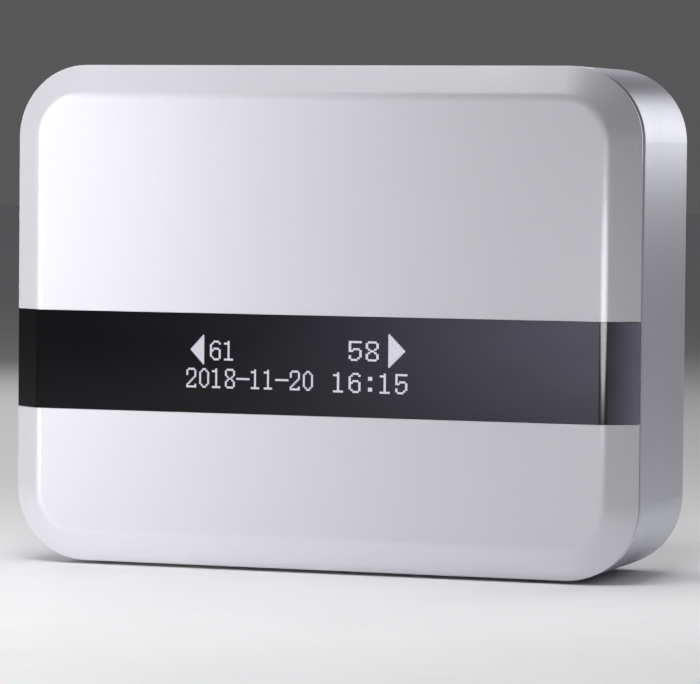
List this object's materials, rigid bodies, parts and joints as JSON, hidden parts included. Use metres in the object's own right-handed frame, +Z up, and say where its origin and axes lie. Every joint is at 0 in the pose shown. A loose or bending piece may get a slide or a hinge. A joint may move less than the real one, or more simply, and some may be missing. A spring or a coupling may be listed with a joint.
{
  "type": "wall-mounted people counter",
  "caption": "Wall-mounted infrared people counter with a bevelled silver cover, a smoked window band that shows the counts, and a brushed metal frame hung on a wall plate.",
  "frame": {"origin": "on the wall, in the middle of the body's outline", "axes": "+Z up, the front faces -Y, +X to the right of someone facing the front"},
  "size_m": [0.075, 0.024, 0.0579],
  "materials": {
    "silver_cover": "satin metallic silver paint on a moulded cover",
    "smoked_window": "gloss, smoked and infrared-transparent",
    "gasket_rubber": "matte, dark",
    "brushed_frame": "brushed around the outline",
    "rear_plastic": "fine grain",
    "plate_plastic": "fine grain",
    "pad_foam": "closed-cell foam",
    "screw_steel": "plated",
    "black_plastic": "matte",
    "cell_wrap": "shrink wrap, plain",
    "contact_nickel": "nickel plate",
    "board_green": "solder mask",
    "display_glass": "black glass",
    "display_light": "lit display dots",
    "flex_amber": "polyimide film",
    "receiver_resin": "infrared-pass resin",
    "beam_lens": "moulded lens",
    "chip_black": "moulded package",
    "shield_metal": "tinned",
    "antenna_brass": "bare wire",
    "capacitor_sleeve": "sleeve",
    "passive_tan": "ceramic",
    "plunger_white": "nylon",
    "button_metal": "turned"
  },
  "bodies": {
    "wall_bracket": {"wall_plate": "plate_plastic", "adhesive_pads": "pad_foam"},
    "counter_unit": {"front_cover": "silver_cover", "window_band": "smoked_window", "seam_gasket": "gasket_rubber", "mid_frame": "brushed_frame", "rear_cover": "rear_plastic", "case_screws": "screw_steel", "battery_holder": "black_plastic", "battery_cell": "cell_wrap", "positive_contact": "contact_nickel", "negative_contact": "contact_nickel", "main_board": "board_green", "board_screws": "screw_steel", "display_glass": "display_glass", "display_bracket": "black_plastic", "display_foam": "pad_foam", "display_flex": "flex_amber", "receiver_left": "receiver_resin", "receiver_right": "receiver_resin", "light_tube_left": "black_plastic", "light_tube_right": "black_plastic", "beam_lens_left": "beam_lens", "beam_lens_right": "beam_lens", "mcu_chip": "chip_black", "radio_module": "shield_metal", "radio_antenna": "antenna_brass", "crystal": "shield_metal", "storage_capacitor": "capacitor_sleeve", "board_passives": "passive_tan", "mode_switch": "chip_black"},
    "battery_door": {"battery_door": "rear_plastic"},
    "mode_button": {"mode_button": "button_metal", "switch_plunger": "plunger_white"}
  },
  "joints": [
    {"name": "unit_tip", "type": "hinge", "parent": "wall_bracket", "child": "counter_unit", "pos_m": [0, -0.0023, 0.025], "axis": [-1, 0, 0], "range_deg": [0, 22]},
    {"name": "battery_door_slide", "type": "slide", "parent": "counter_unit", "child": "battery_door", "axis": [0, 0, -1], "range_m": [0, 0.003]},
    {"name": "mode_button_press", "type": "slide", "parent": "counter_unit", "child": "mode_button", "axis": [0, 0, 1], "range_m": [0, 0.0005], "stiffness_N_per_m": 300, "springref_m": -0.001}
  ]
}
